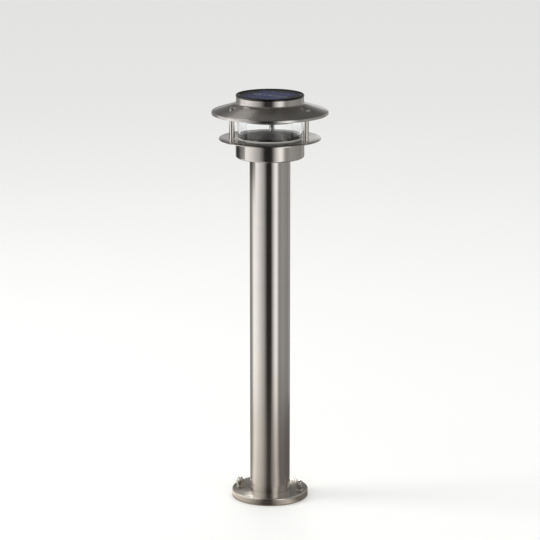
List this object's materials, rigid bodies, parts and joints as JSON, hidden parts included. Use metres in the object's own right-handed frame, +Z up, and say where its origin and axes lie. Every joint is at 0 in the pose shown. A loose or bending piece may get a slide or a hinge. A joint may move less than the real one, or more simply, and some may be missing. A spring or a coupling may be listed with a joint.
{
  "type": "solar garden torch",
  "caption": "Solar post light: round flange foot, steel post, cup and ring, clear glass between pillars, wide canopy and a lift-out solar module with battery, switch and lamp.",
  "frame": {"origin": "centre of the base's underside", "axes": "+Z up along the post, +Y away from the viewer, +X to the viewer's right"},
  "size_m": [0.1716, 0.1716, 0.616],
  "materials": {
    "stainless_brushed": "brushed",
    "stainless_plate": "satin",
    "stainless_bright": "polished",
    "cone_aluminium": "polished",
    "clear_glass": "clear",
    "gasket_silicone": "milky",
    "seal_rubber": "matt",
    "bezel_plastic": "gloss",
    "housing_plastic": "fine texture",
    "panel_resin": "clear",
    "panel_backing": "satin",
    "silicon_cell": "crystalline",
    "tinned_copper": "bright",
    "board_laminate": "solder mask",
    "component_plastic": "matt",
    "cell_sleeve": "shrink sleeve",
    "nickel_contact": "nickel plated",
    "diode_resin": "clear",
    "switch_plastic": "matt",
    "slider_plastic": "satin",
    "zinc_steel": "zinc plated",
    "lead_insulation": "satin"
  },
  "bodies": {
    "torch": {"base_plate": "zinc_steel", "base_cover": "stainless_brushed", "bolt_sleeves": "zinc_steel", "base_washers": "stainless_bright", "cap_nuts": "stainless_bright", "post_tube": "stainless_brushed", "post_plug": "zinc_steel", "drum": "stainless_brushed", "drum_screws": "zinc_steel", "reflector_cone": "cone_aluminium", "lower_ring": "stainless_brushed", "glass_gasket_lower": "gasket_silicone", "glass_cylinder": "clear_glass", "glass_gasket_upper": "gasket_silicone", "pillar_back": "stainless_bright", "pillar_left": "stainless_bright", "pillar_right": "stainless_bright", "pillar_screws": "zinc_steel", "seat_plate": "stainless_plate", "canopy": "stainless_brushed", "canopy_screws": "stainless_bright"},
    "solar_module": {"module_housing": "housing_plastic", "module_seal": "seal_rubber", "bezel_ring": "bezel_plastic", "panel_backing": "panel_backing", "solar_cells": "silicon_cell", "cell_tabs": "tinned_copper", "panel_cover": "panel_resin", "battery": "cell_sleeve", "battery_contacts": "nickel_contact", "door_pin": "zinc_steel", "circuit_board": "board_laminate", "board_parts": "component_plastic", "board_screws": "zinc_steel", "switch_body": "switch_plastic", "led_board": "board_laminate", "leds": "diode_resin", "led_screws": "zinc_steel", "led_lens": "panel_resin", "panel_leads": "lead_insulation", "led_leads": "lead_insulation", "battery_leads": "lead_insulation"},
    "door": {"battery_door": "housing_plastic"},
    "slider": {"switch_slider": "slider_plastic"}
  },
  "joints": [
    {"name": "module_lift", "type": "slide", "parent": "torch", "child": "solar_module", "axis": [0, 0, 1], "range_m": [0, 0.09]},
    {"name": "battery_door_hinge", "type": "hinge", "parent": "solar_module", "child": "door", "pos_m": [0, 0.0322, 0.5762], "axis": [1, 0, 0], "range_deg": [0, 90]},
    {"name": "switch_slide", "type": "slide", "parent": "solar_module", "child": "slider", "axis": [1, 0, 0], "range_m": [0, 0.004]}
  ]
}
